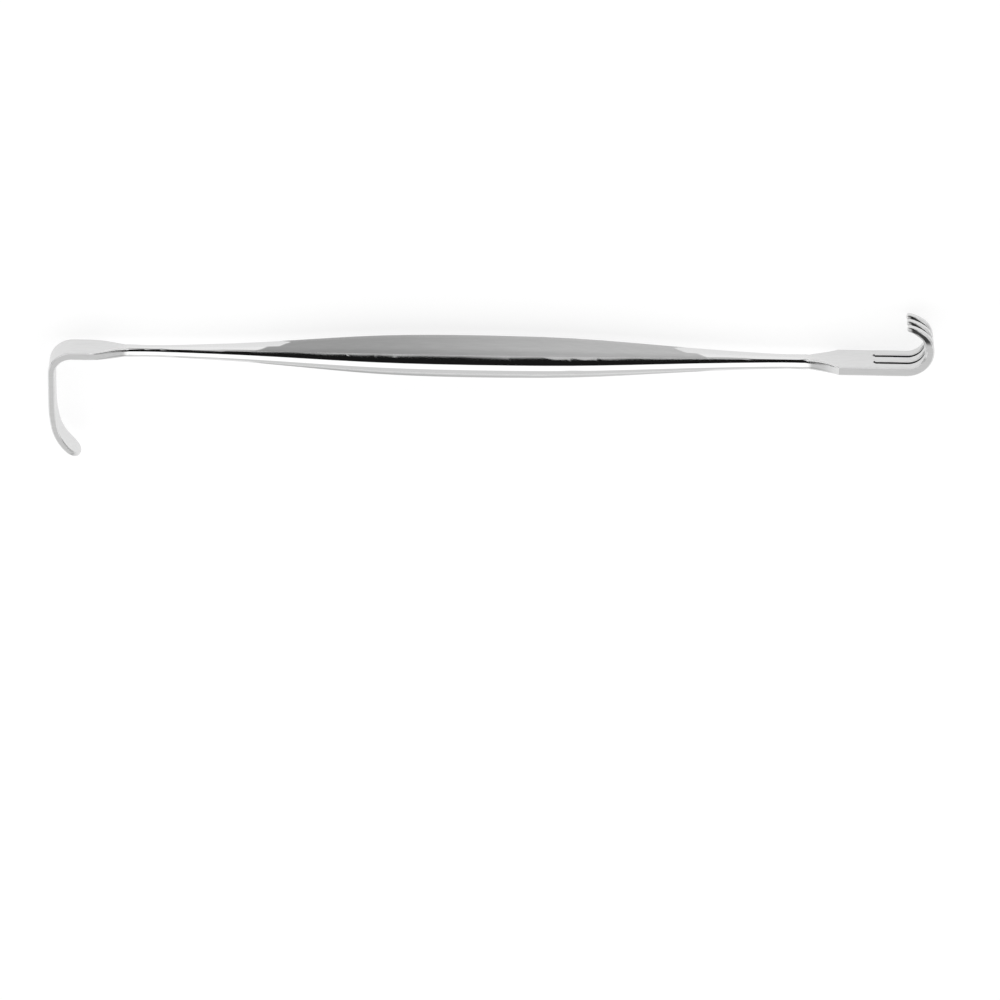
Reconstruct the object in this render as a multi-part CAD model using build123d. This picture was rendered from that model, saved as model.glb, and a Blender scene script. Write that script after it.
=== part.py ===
from build123d import *
from math import cos, degrees, pi, radians, sin
import os

# Double-ended hand retractor, forged and bent from one bar of stainless steel.
# It lies on its side. X runs from the blade end to the rake end. Y is the depth of the two
# hooks: the rake curls towards +Y and the blade reaches towards -Y. Z is the width.
# While it is built, Y = 0 and Z = 0 are the middle planes of the bar. Sizes are millimetres.

# Length of the whole instrument
overall_length = 160.0

# Spindle handle
belly_width = 9.2
belly_thickness = 7.3
belly_edge_radius = 1.7
belly_length = 13.0
belly_offset = -2.5
blade_neck_diameter = 2.3
rake_neck_diameter = 2.75
blade_flank_fall = 1.25
rake_flank_fall = 1.0
flank_sections = 5
crown_strips = 4

# Blade end
shank_width = 5.8
shank_thickness = 1.45
shank_length = 3.0
blade_taper_length = 7.2
blade_neck_rounding = 0.92
blade_thickness = 1.15
blade_depth = 21.9
heel_radius = 4.4
heel_inner_radius = 3.1
toe_sweep_radius = 24.0
toe_sweep_angle = 12.0
toe_radius = 9.0
toe_angle = 60.0
toe_thinning = 0.25
toe_corner_radius = 2.6
blade_edge_break = 0.2

# Rake end
rake_width = 7.2
rake_thickness = 1.72
rake_plate_length = 6.6
rake_taper_length = 5.9
rake_taper_fall = 1.7
rake_neck_rounding = 1.24
rake_edge_break = 0.2
prong_count = 3
slot_width = 0.85
slot_straight = 5.75
curl_radius = 4.0
curl_thickness = 1.5
curl_width = 1.7
curl_edge_break = 0.28
curl_angle = 140.0
lip_radius = 6.5
lip_angle = 28.0
lip_thickness = 1.3
lip_width = 1.5
lip_edge_break = 0.34
tip_diameter = 1.15
tip_rounding = 0.46
tip_end_radius = 0.42
tip_pitch = 2.45

# Cross-section of the handle: the broad faces are crowned out to the first angle of their
# normal, shoulders follow out to the second, and one radius rounds the edge.
crown_angle = radians(48)
shoulder_angle = radians(72)

# Steps in which a taper changes from the flat into the neck
taper_steps = 3

# Places along X that follow from the sizes above
blade_face_x = -overall_length / 2
heel_x = blade_face_x + heel_radius
shank_x = heel_x + shank_length
blade_neck_x = shank_x + blade_taper_length
bend_x = overall_length / 2 - curl_thickness / 2 - curl_radius
slot_x = bend_x - slot_straight
plate_x = slot_x - rake_plate_length
rake_neck_x = plate_x - rake_taper_length
belly_start_x = belly_offset - belly_length / 2
belly_end_x = belly_offset + belly_length / 2

prong_width = (rake_width - (prong_count - 1) * slot_width) / prong_count
prong_pitch = prong_width + slot_width


def across_bar(x):
    """The plane across the bar at x, whose own two directions are Y and Z."""
    return Plane(origin=(x, 0, 0), x_dir=(0, 1, 0), z_dir=(1, 0, 0))


def swell(part_way, fall=1.0):
    """1 at the start of a flank and 0 at its end, level at both."""
    return ((1 + cos(pi * part_way)) / 2) ** fall


def blend(start, end, share):
    """A size that is start at share 0 and end at share 1."""
    return start + (end - start) * share


def oval_section(x, width, thickness, edge_radius, strips=1):
    """Two crowned faces, four shoulders and two round edges, each tangent to the next."""
    s1, c1 = sin(crown_angle), cos(crown_angle)
    s2, c2 = sin(shoulder_angle), cos(shoulder_angle)
    across = width / 2 - edge_radius * (1 - s2)
    through = thickness / 2 - edge_radius * c2
    spread = s1 * (c1 - c2) - (s2 - s1) * (1 - c1)
    crown_radius = (across * (c1 - c2) - through * (s2 - s1)) / spread
    shoulder_radius = (through * s1 - across * (1 - c1)) / spread

    # Half of the way round, from the start of one crown to the start of the other
    shoulder = (shoulder_radius, shoulder_angle - crown_angle)
    edge = (edge_radius, pi - 2 * shoulder_angle)
    half = [(crown_radius, 2 * crown_angle / strips)] * strips + [shoulder, edge, shoulder]
    place = (thickness / 2 - crown_radius * (1 - c1), -crown_radius * s1)
    heading = (s1, c1)
    outline = []
    for radius, turn in half + half:
        arc = JernArc(place, heading, radius, degrees(turn))
        outline.append(arc)
        place, heading = arc @ 1, arc % 1
    return across_bar(x) * make_face(outline)


def rounded_section(x, width, thickness, corner):
    """A flat bar with rounded corners."""
    return across_bar(x) * RectangleRounded(thickness, width, corner)


def broken_bar(first, second, edge_break):
    """The outline of a flat bar whose edges are broken."""
    return chamfer(Rectangle(first, second).vertices(), edge_break)


def handle_section(x, fullness, neck_diameter):
    """The handle anywhere between its round neck (0) and its belly (1)."""
    return oval_section(
        x,
        blend(neck_diameter, belly_width, fullness),
        blend(neck_diameter, belly_thickness, fullness),
        blend(neck_diameter / 2, belly_edge_radius, fullness),
        crown_strips,
    )


def make_handle():
    """The spindle from one neck to the other."""
    sections = []
    for step in range(flank_sections, -1, -1):
        part_way = step / flank_sections
        x = blend(belly_start_x, blade_neck_x, part_way)
        sections.append(handle_section(x, swell(part_way, blade_flank_fall), blade_neck_diameter))
    for step in range(flank_sections + 1):
        part_way = step / flank_sections
        x = blend(belly_end_x, rake_neck_x, part_way)
        sections.append(handle_section(x, swell(part_way, rake_flank_fall), rake_neck_diameter))
    return loft(sections)


def make_blade_taper():
    """The flat shank narrowing and thickening into the neck."""
    neck = blade_neck_diameter
    flat = broken_bar(shank_thickness, shank_width, blade_edge_break)
    sections = [across_bar(shank_x) * flat]
    for step in range(1, taper_steps):
        share = 1 - swell(step / taper_steps)
        x = blend(shank_x, blade_neck_x, step / taper_steps)
        width = blend(shank_width, neck, share)
        thickness = blend(shank_thickness, neck, share)
        corner = blend(blade_edge_break, blade_neck_rounding, share)
        sections.append(rounded_section(x, width, thickness, corner))
    sections.append(oval_section(blade_neck_x, neck, neck, neck / 2))
    return loft(sections)


def make_rake_taper():
    """The neck spreading and flattening into the plate of the rake."""
    neck = rake_neck_diameter
    sections = [oval_section(rake_neck_x, neck, neck, neck / 2)]
    for step in range(1, taper_steps):
        share = step / taper_steps
        x = blend(rake_neck_x, plate_x, share)
        width = blend(neck, rake_width, share**rake_taper_fall)
        thickness = blend(neck, rake_thickness, share)
        corner = blend(rake_neck_rounding, rake_edge_break, share)
        sections.append(rounded_section(x, width, thickness, corner))
    flat = broken_bar(rake_thickness, rake_width, rake_edge_break)
    sections.append(across_bar(plate_x) * flat)
    return loft(sections)


def make_blade():
    """The shank, the right-angled heel and the blade, whose toe sweeps back under the handle."""
    top = shank_thickness / 2
    span = toe_angle - toe_sweep_angle
    inner_x = blade_face_x + blade_thickness
    extra_radius = toe_thinning / (1 - cos(radians(span)))
    inner_toe_radius = toe_radius - blade_thickness + extra_radius
    toe_run = extra_radius * sin(radians(span))
    rise = toe_sweep_radius * sin(radians(toe_sweep_angle))
    rise += toe_radius * (sin(radians(toe_angle)) - sin(radians(toe_sweep_angle)))
    rise += toe_run * cos(radians(toe_angle))
    sweep_y = top - blade_depth + rise

    outer = [Line((shank_x, top), (heel_x, top))]
    outer.append(JernArc(outer[-1] @ 1, (-1, 0), heel_radius, 90))
    outer.append(Line(outer[-1] @ 1, (blade_face_x, sweep_y)))
    outer.append(JernArc(outer[-1] @ 1, (0, -1), toe_sweep_radius, toe_sweep_angle))
    outer.append(JernArc(outer[-1] @ 1, outer[-1] % 1, toe_radius, span))
    outer.append(Line(outer[-1] @ 1, outer[-1] @ 1 + (outer[-1] % 1) * toe_run))

    inner = [Line((shank_x, -top), (inner_x + heel_inner_radius, -top))]
    inner.append(JernArc(inner[-1] @ 1, (-1, 0), heel_inner_radius, 90))
    inner.append(Line(inner[-1] @ 1, (inner_x, sweep_y)))
    inner_sweep_radius = toe_sweep_radius - blade_thickness
    inner.append(JernArc(inner[-1] @ 1, (0, -1), inner_sweep_radius, toe_sweep_angle))
    inner.append(JernArc(inner[-1] @ 1, inner[-1] % 1, inner_toe_radius, span))

    toe_end = Line(outer[-1] @ 1, inner[-1] @ 1)
    shank_end = Line(inner[0] @ 0, outer[0] @ 0)
    profile = make_face([*outer, toe_end, *inner, shank_end])
    blade = extrude(profile, shank_width / 2, dir=(0, 0, 1), both=True)

    # The toe is rounded in plan, then both rims are broken as far as the shank's end
    toe_face = blade.faces().sort_by_distance(toe_end @ 0.5)[0]
    blade = fillet(toe_face.edges().filter_by(Axis.Z, reverse=True), toe_corner_radius)
    shank_face = blade.faces().sort_by(Axis.X)[-1]
    rims = blade.faces().filter_by(Axis.Z).edges() - shank_face.edges()
    return chamfer(rims, blade_edge_break)


def prong_plane(place, along, drift):
    """The plane square to a prong's run, drifted sideways, with the width as its first direction."""
    return Plane(origin=place + drift, x_dir=(0, 0, 1), z_dir=along)


def make_prong(number):
    """A prong that leaves the plate square, curls over, and thins to a round, blunt tip."""
    steps_out = number - (prong_count - 1) / 2
    root_z = steps_out * prong_pitch
    run = Line((slot_x, 0, root_z), (bend_x, 0, root_z))
    rise = JernArc(run @ 1, (1, 0, 0), curl_radius, 90)
    over = JernArc(rise @ 1, (0, 1, 0), curl_radius, curl_angle - 90)
    lip = JernArc(over @ 1, over % 1, lip_radius, lip_angle)

    # The prongs close up by a third at the crest, a third over it and a third along the lip
    third = Vector(0, 0, steps_out * (tip_pitch - prong_pitch) / 3)
    root = broken_bar(prong_width, rake_thickness, rake_edge_break)
    crest = broken_bar(curl_width, curl_thickness, curl_edge_break)
    brow = prong_plane(over @ 1, over % 1, third * 2) * broken_bar(lip_width, lip_thickness, lip_edge_break)
    tip_plane = prong_plane(lip @ 1, lip % 1, third * 3)
    tip = tip_plane * RectangleRounded(tip_diameter, tip_diameter, tip_rounding)
    curl = sweep(
        [
            prong_plane(run @ 0, run % 0, Vector()) * root,
            prong_plane(run @ 1, run % 1, Vector()) * root,
            prong_plane(rise @ 1, rise % 1, third) * crest,
            brow,
        ],
        Wire([run, rise, over]),
        multisection=True,
    )
    lip_end = sweep([brow, tip], Wire([lip]), multisection=True)
    blunt_face = lip_end.faces().sort_by_distance(tip_plane.origin)[0]
    return curl + fillet(blunt_face.edges(), tip_end_radius)


def make_rake():
    """The flat plate, slotted with round-ended slots, and its prongs."""
    outline = broken_bar(rake_thickness, rake_width, rake_edge_break)
    plate = extrude(across_bar(plate_x) * outline, rake_plate_length)
    for number in range(prong_count - 1):
        slot_z = (number - (prong_count - 2) / 2) * prong_pitch
        plate -= Pos(slot_x, 0, slot_z) * Rot(90, 0, 0) * Cylinder(slot_width / 2, 2 * rake_thickness)
    return [plate, *[make_prong(number) for number in range(prong_count)]]


pieces = [make_blade(), make_blade_taper(), make_handle(), make_rake_taper(), *make_rake()]
retractor = pieces[0].fuse(*pieces[1:])
box = retractor.bounding_box()
retractor = Pos(-box.center().X, -box.center().Y, -box.min.Z) * retractor

os.makedirs("parts", exist_ok=True)
export_step(retractor, "parts/retractor.step")
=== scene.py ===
from math import cos, radians, sin

import bpy
from mathutils import Matrix, Vector


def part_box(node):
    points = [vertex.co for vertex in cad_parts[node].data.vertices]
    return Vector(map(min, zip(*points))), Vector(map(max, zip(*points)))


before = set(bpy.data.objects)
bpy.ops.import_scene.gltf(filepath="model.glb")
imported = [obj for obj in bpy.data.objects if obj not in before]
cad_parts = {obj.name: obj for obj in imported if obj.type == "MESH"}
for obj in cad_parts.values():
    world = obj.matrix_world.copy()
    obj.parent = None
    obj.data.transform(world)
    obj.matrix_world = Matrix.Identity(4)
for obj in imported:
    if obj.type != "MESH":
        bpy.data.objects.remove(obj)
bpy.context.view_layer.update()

# Places on the instrument, in metres. The bar's axis runs along X, level with the middle of
# the rake's plate, and the two hooks reach to either side of it along Y.
MM = 0.001
lowest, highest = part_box("retractor")
AXIS_Y = 6.088 * MM
AXIS_Z = (lowest.z + highest.z) / 2
BLADE_NECK_X = lowest.x + 14.6 * MM
RAKE_NECK_X = highest.x - 23.0 * MM
SLOT_START_X = highest.x - 11.5 * MM
PRONG_TIPS_X = highest.x - 4.6 * MM
CREST_Y = AXIS_Y + 5.6 * MM

# The camera looks down on the instrument, leaning from the upright towards +Y
CAMERA_LEAN = radians(28.11)
CAMERA_ROLL = radians(0.956)
CAMERA_DISTANCE = 1.302
CAMERA_AIM_X = 2.12 * MM
CAMERA_AIM_DOWN = 25.93 * MM
CAMERA_REACH = 20.0
SENSOR_WIDTH = 36.0
FOCAL_LENGTH = 259.1

# Softboxes around the instrument, by angle from +Y up over +Z: each one's far edge in degrees
# and its level. The dark one is the gap on the camera's side.
SOFTBOXES = [(15, 1.1), (23, 0.5), (47, 1.1), (87, 0.01), (142, 1.4), (180, 0.8)]
SOFTBOX_EDGE = 1.2
HALF_TURN = 180

# Floor: what it gives back of the light, and what is added where it is seen
FLOOR_SIZE = 6.0
FLOOR_GREY = 0.28
FLOOR_LIFT = 0.8

# Satin ends: they lap onto the necks and fade out there
SATIN_LAP = 0.2 * MM
SATIN_FADE = 1.2 * MM
SATIN_GREY = 0.75
SATIN_ROUGHNESS = 0.34

# Painted shade on the sides of the flats: a darker grey, by how squarely they face along Z
SHADED_SIDE_FACING = (0.8, 0.95)
SHADED_SIDE_GREY = 0.42

# Polished necks, handle edges and broken edges of the two tapers
POLISHED_GREY = 0.74
POLISHED_ROUGHNESS = 0.08
BROKEN_EDGE_TILT = (radians(36), radians(54))
BROKEN_EDGE_SOFT = radians(3)
BLADE_TAPER = 7.0 * MM
RAKE_TAPER = 5.8 * MM
TAPER_FADE = 0.8 * MM

# Dull satin panel on each broad face of the handle, by distance from its middle and by tilt; its
# darker grey, lighter towards +X, is painted shade
PANEL_MIDDLE_X = -1.5 * MM
PANEL_NARROWS = (30 * MM, 43 * MM)
PANEL_UPPER_TILT = (radians(-10), radians(44))
PANEL_UPPER_SOFT = radians(2)
PANEL_LOWER_TILT = (radians(46), radians(62))
PANEL_ENDS = (41 * MM, 42.5 * MM)
PANEL_SHADES_X = (-30 * MM, 25 * MM)
PANEL_SHADE_GREYS = (0.33, 0.5)

# Painted shade on the slot walls and on the prong sides, by how squarely they face along Z
RECESS_SHADE_FACING = (0.75, 0.9)
RECESS_SHADE_GREY = 0.04
SLOT_WALLS_REACH = 2.4 * MM
SLOT_FADE = 0.1 * MM
CREST_FADE = 0.5 * MM
TIPS_FADE = 0.6 * MM

# Grain of the satin, drawn out along the bar
GRAIN_STRETCH = (90, 1500, 1500)
GRAIN_SCALE = 3.0
GRAIN_DETAIL = 4.0
GRAIN_DARKEST = 0.9
GRAIN_CONTRAST = 0.2
GRAIN_DEPTH = 0.02 * MM
GRAIN_BUMP = 0.25


class Nodes:
    """Short calls that add nodes to one tree and link them."""

    def __init__(self, tree):
        self.tree = tree
        tree.nodes.clear()

    def add(self, kind, **settings):
        node = self.tree.nodes.new(kind)
        for name, value in settings.items():
            setattr(node, name, value)
        return node

    def feed(self, socket, value):
        if isinstance(value, bpy.types.NodeSocket):
            self.tree.links.new(value, socket)
        else:
            socket.default_value = value

    def math(self, operation, *values, clamp=False):
        node = self.add("ShaderNodeMath", operation=operation, use_clamp=clamp)
        for socket, value in zip(node.inputs, values):
            self.feed(socket, value)
        return node.outputs[0]

    def size(self, value):
        return self.math("ABSOLUTE", value)

    def all_of(self, first, *others):
        """Masks multiplied together."""
        for other in others:
            first = self.math("MULTIPLY", first, other)
        return first

    def either(self, first, second):
        return self.math("MAXIMUM", first, second)

    def outside(self, mask):
        return self.math("SUBTRACT", 1.0, mask)

    def rise(self, value, start, end, low=0.0, high=1.0):
        """low up to start, high from end on, and smooth in between."""
        node = self.add("ShaderNodeMapRange", interpolation_type="SMOOTHSTEP")
        for socket, given in zip(node.inputs, (value, start, end, low, high)):
            self.feed(socket, given)
        return node.outputs[0]

    def fall(self, value, start, end):
        """1 up to start, 0 from end on, and smooth in between."""
        return self.rise(value, start, end, 1.0, 0.0)

    def band(self, value, start, end, soft):
        """1 between start and end, and 0 outside them."""
        rising = self.rise(value, start - soft, start + soft)
        return self.all_of(rising, self.fall(value, end - soft, end + soft))

    def split(self, vector):
        node = self.add("ShaderNodeSeparateXYZ")
        self.feed(node.inputs[0], vector)
        return node.outputs

    def as_grey(self, value):
        """A colour with the value in all three channels."""
        node = self.add("ShaderNodeCombineColor")
        for socket in node.inputs:
            self.feed(socket, value)
        return node.outputs[0]

    def mix_colour(self, factor, first, second, blend="MIX"):
        node = self.add("ShaderNodeMix", data_type="RGBA", blend_type=blend)
        self.feed(node.inputs[0], factor)
        self.feed(node.inputs[6], first)
        self.feed(node.inputs[7], second)
        return node.outputs[2]

    def noise(self, vector, stretch, scale, detail):
        """Noise whose vector is first scaled along each axis."""
        mapping = self.add("ShaderNodeMapping")
        self.feed(mapping.inputs["Vector"], vector)
        mapping.inputs["Scale"].default_value = stretch
        node = self.add("ShaderNodeTexNoise")
        self.feed(node.inputs["Vector"], mapping.outputs[0])
        node.inputs["Scale"].default_value = scale
        node.inputs["Detail"].default_value = detail
        return node.outputs[0]


def grey(level):
    return (level, level, level, 1.0)


def light_from_around():
    """Level light from softboxes that run the length of the instrument."""
    world = bpy.data.worlds.new("studio")
    bpy.context.scene.world = world
    world.use_nodes = True
    nodes = Nodes(world.node_tree)
    direction = nodes.split(nodes.add("ShaderNodeTexCoord").outputs["Generated"])
    angle = nodes.math("ARCTAN2", direction[2], direction[1])
    share = nodes.math("DIVIDE", angle, radians(HALF_TURN), clamp=True)
    ramp = nodes.add("ShaderNodeValToRGB")
    nodes.feed(ramp.inputs[0], share)
    stops = ramp.color_ramp.elements
    stops[0].position = 0.0
    stops[0].color = grey(SOFTBOXES[0][1])
    stops[1].position = 1.0
    stops[1].color = grey(SOFTBOXES[-1][1])
    for (edge, level), (_, following) in zip(SOFTBOXES, SOFTBOXES[1:]):
        stops.new((edge - SOFTBOX_EDGE) / HALF_TURN).color = grey(level)
        stops.new((edge + SOFTBOX_EDGE) / HALF_TURN).color = grey(following)
    seen = nodes.add("ShaderNodeLightPath").outputs["Is Camera Ray"]
    background = nodes.add("ShaderNodeBackground")
    nodes.feed(background.inputs["Color"], nodes.mix_colour(seen, ramp.outputs[0], grey(1.0)))
    output = nodes.add("ShaderNodeOutputWorld")
    nodes.feed(output.inputs[0], background.outputs[0])


def lay_floor():
    """A plain pale floor, which reads as white and keeps the shadow."""
    bpy.ops.mesh.primitive_plane_add(size=FLOOR_SIZE, location=(0, 0, 0))
    floor = bpy.context.object
    floor.name = "floor"
    material = bpy.data.materials.new("floor_paper")
    material.use_nodes = True
    nodes = Nodes(material.node_tree)
    paper = nodes.add("ShaderNodeBsdfDiffuse")
    paper.inputs["Color"].default_value = grey(FLOOR_GREY)
    path = nodes.add("ShaderNodeLightPath")
    seen = nodes.either(path.outputs["Is Camera Ray"], path.outputs["Is Glossy Ray"])
    lift = nodes.add("ShaderNodeEmission")
    nodes.feed(lift.inputs["Strength"], nodes.math("MULTIPLY", seen, FLOOR_LIFT))
    both = nodes.add("ShaderNodeAddShader")
    nodes.feed(both.inputs[0], paper.outputs[0])
    nodes.feed(both.inputs[1], lift.outputs[0])
    output = nodes.add("ShaderNodeOutputMaterial")
    nodes.feed(output.inputs[0], both.outputs[0])
    floor.data.materials.append(material)


def satin_ends(nodes, x, tilt):
    """Both ends past the necks, without the polished broken edges of the tapers."""
    blade = nodes.fall(x, BLADE_NECK_X - SATIN_FADE, BLADE_NECK_X + SATIN_LAP)
    rake = nodes.rise(x, RAKE_NECK_X - SATIN_LAP, RAKE_NECK_X + SATIN_FADE)
    edge = nodes.band(tilt, *BROKEN_EDGE_TILT, BROKEN_EDGE_SOFT)
    blade_taper = nodes.band(x, BLADE_NECK_X - BLADE_TAPER, BLADE_NECK_X, TAPER_FADE)
    rake_taper = nodes.band(x, RAKE_NECK_X, RAKE_NECK_X + RAKE_TAPER, TAPER_FADE)
    broken = nodes.all_of(edge, nodes.either(blade_taper, rake_taper))
    return nodes.all_of(nodes.either(blade, rake), nodes.outside(broken))


def handle_panel(nodes, x, tilt):
    """A panel on each broad face of the handle, which narrows to a line at its two tips; it is
    made dull satin and takes painted shade.
    """
    away = nodes.size(nodes.math("SUBTRACT", x, PANEL_MIDDLE_X))
    upper = nodes.rise(away, *PANEL_NARROWS, *PANEL_UPPER_TILT)
    past_upper = nodes.math("SUBTRACT", tilt, upper)
    above = nodes.rise(past_upper, -PANEL_UPPER_SOFT, PANEL_UPPER_SOFT)
    return nodes.all_of(above, nodes.fall(tilt, *PANEL_LOWER_TILT), nodes.fall(away, *PANEL_ENDS))


def painted_recess_shade(nodes, place, facing):
    """Painted shade on the slot walls, and on the sides of the prongs over the crest and short of
    their tips.
    """
    x, y, z = place
    aside = nodes.size(nodes.math("SUBTRACT", z, AXIS_Z))
    between = nodes.fall(aside, SLOT_WALLS_REACH, SLOT_WALLS_REACH + SLOT_FADE)
    slotted = nodes.rise(x, SLOT_START_X, SLOT_START_X + SLOT_FADE)
    over_crest = nodes.rise(y, CREST_Y - CREST_FADE, CREST_Y + CREST_FADE)
    slots = nodes.all_of(between, slotted, nodes.outside(over_crest))
    short_of_tips = nodes.rise(x, PRONG_TIPS_X, PRONG_TIPS_X + TIPS_FADE)
    past_neck = nodes.math("GREATER_THAN", x, RAKE_NECK_X)
    curls = nodes.all_of(over_crest, short_of_tips, past_neck)
    return nodes.all_of(nodes.either(slots, curls), nodes.rise(facing, *RECESS_SHADE_FACING))


def steel():
    """Stainless steel: satin ends, polished necks and a dull satin panel on the handle, with
    painted shade on the panel, on the sides of the flats, on the slot walls and on the prong
    sides over the crest.
    """
    material = bpy.data.materials.new("stainless_steel")
    material.use_nodes = True
    nodes = Nodes(material.node_tree)
    coordinates = nodes.add("ShaderNodeTexCoord")
    place = nodes.split(coordinates.outputs["Object"])[:3]
    x = place[0]
    _, across_bar, along_width = nodes.split(coordinates.outputs["Normal"])[:3]
    facing = nodes.size(along_width)
    tilt = nodes.math("ARCTAN2", facing, nodes.size(across_bar))

    ends = satin_ends(nodes, x, tilt)
    panel = handle_panel(nodes, x, tilt)
    satin = nodes.either(ends, panel)
    # Painted shade: the flats' sides, facing along Z, take a darker grey than their broad faces
    sides = nodes.all_of(nodes.rise(facing, *SHADED_SIDE_FACING), ends)
    grain = nodes.noise(coordinates.outputs["Object"], GRAIN_STRETCH, GRAIN_SCALE, GRAIN_DETAIL)

    end_colour = nodes.mix_colour(sides, grey(SATIN_GREY), grey(SHADED_SIDE_GREY))
    colour = nodes.mix_colour(ends, grey(POLISHED_GREY), end_colour)
    # Painted shade: the panel's grey is darker than the steel's, and lighter towards +X
    panel_shade_grey = nodes.rise(x, *PANEL_SHADES_X, *PANEL_SHADE_GREYS)
    colour = nodes.mix_colour(panel, colour, nodes.as_grey(panel_shade_grey))
    shade = nodes.math("MULTIPLY_ADD", grain, GRAIN_CONTRAST, GRAIN_DARKEST)
    colour = nodes.mix_colour(satin, colour, nodes.as_grey(shade), blend="MULTIPLY")
    recess_shade = painted_recess_shade(nodes, place, facing)
    # Painted shade: slot walls and the prong sides over the crest turn near black
    colour = nodes.mix_colour(recess_shade, colour, grey(RECESS_SHADE_GREY))

    extra_roughness = SATIN_ROUGHNESS - POLISHED_ROUGHNESS
    roughness = nodes.math("MULTIPLY_ADD", satin, extra_roughness, POLISHED_ROUGHNESS)
    bump = nodes.add("ShaderNodeBump")
    bump.inputs["Distance"].default_value = GRAIN_DEPTH
    nodes.feed(bump.inputs["Height"], grain)
    nodes.feed(bump.inputs["Strength"], nodes.math("MULTIPLY", satin, GRAIN_BUMP))

    shader = nodes.add("ShaderNodeBsdfPrincipled")
    shader.inputs["Metallic"].default_value = 1.0
    nodes.feed(shader.inputs["Base Color"], colour)
    nodes.feed(shader.inputs["Roughness"], roughness)
    nodes.feed(shader.inputs["Normal"], bump.outputs[0])
    output = nodes.add("ShaderNodeOutputMaterial")
    nodes.feed(output.inputs[0], shader.outputs[0])
    return material


def place_camera():
    """The photograph's viewpoint: above the instrument, with the blade end on the left."""
    right = Vector((1, 0, 0))
    up = Vector((0, cos(CAMERA_LEAN), -sin(CAMERA_LEAN)))
    back = Vector((0, sin(CAMERA_LEAN), cos(CAMERA_LEAN)))
    aim = Vector((0, AXIS_Y, AXIS_Z)) + right * CAMERA_AIM_X - up * CAMERA_AIM_DOWN
    side = right * cos(CAMERA_ROLL) + up * sin(CAMERA_ROLL)
    top = up * cos(CAMERA_ROLL) - right * sin(CAMERA_ROLL)
    turn = Matrix((side, top, back)).transposed()
    lens = bpy.data.cameras.new("camera")
    lens.lens = FOCAL_LENGTH
    lens.sensor_width = SENSOR_WIDTH
    lens.clip_end = CAMERA_REACH
    camera = bpy.data.objects.new("camera", lens)
    bpy.context.scene.collection.objects.link(camera)
    camera.matrix_world = Matrix.Translation(aim + back * CAMERA_DISTANCE) @ turn.to_4x4()
    bpy.context.scene.camera = camera


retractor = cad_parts["retractor"]
retractor.data.materials.clear()
retractor.data.materials.append(steel())

light_from_around()
lay_floor()
place_camera()
bpy.context.scene.view_settings.view_transform = "Standard"
